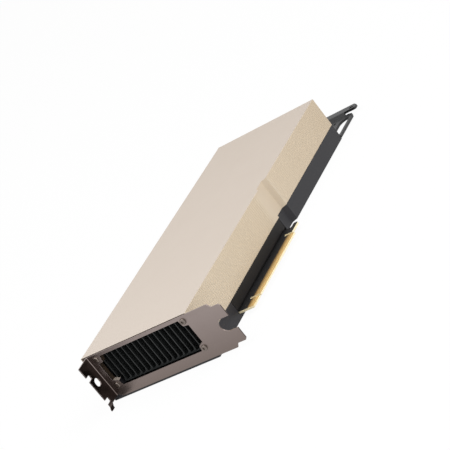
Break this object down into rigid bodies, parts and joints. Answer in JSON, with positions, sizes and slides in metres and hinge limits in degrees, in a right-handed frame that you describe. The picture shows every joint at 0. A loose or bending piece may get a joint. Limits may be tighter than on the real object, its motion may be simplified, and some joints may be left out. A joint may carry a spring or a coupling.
{
  "type": "passive accelerator card",
  "caption": "Full-length dual-slot passive accelerator card with a fluted champagne shroud, dark base tray, vented bracket, gold edge connector and far-end extender bracket.",
  "frame": {"origin": "centre of the base tray's underside", "axes": "+X from the I/O bracket to the far end, +Y from the edge connector to the top edge, +Z from the underside to the front cover"},
  "size_m": [0.3238, 0.1256, 0.0384],
  "materials": {
    "champagne_shell": "matte champagne anodised",
    "dark_shell": "satin dark grey coat",
    "dark_rail": "semi-gloss black coat",
    "board": "black solder mask",
    "gold": "gold-plated contact",
    "dark_nickel": "dark satin nickel plating",
    "steel_screw": "plated screw",
    "black_anodised": "black anodised",
    "substrate": "dark green laminate",
    "silicon": "polished silicon",
    "package_black": "moulded black package",
    "nickel_frame": "nickel plated frame",
    "copper": "satin copper",
    "ferrite": "pressed grey ferrite",
    "pad": "soft grey thermal pad",
    "can": "bright aluminium can",
    "black_plastic": "black moulded housing",
    "dark_sheet": "dark grey powder coat"
  },
  "bodies": {
    "root": {"shroud": "champagne_shell", "base_tray": "dark_shell", "side_rail": "dark_rail", "circuit_board": "board", "edge_contacts_front": "gold", "edge_contacts_back": "gold", "io_bracket": "dark_nickel", "bracket_screws": "steel_screw", "heat_sink": "black_anodised", "processor_substrate": "substrate", "processor_die": "silicon", "memory_stacks": "package_black", "package_frame": "nickel_frame", "vapour_chamber": "copper", "inductors": "ferrite", "thermal_pads": "pad", "power_stages": "package_black", "capacitors": "can", "power_inlet": "black_plastic", "inlet_pins": "gold", "extender_bracket": "dark_sheet", "extender_screws": "steel_screw", "board_screws": "steel_screw", "cooler_screws": "steel_screw", "shroud_screws": "steel_screw"}
  },
  "joints": []
}
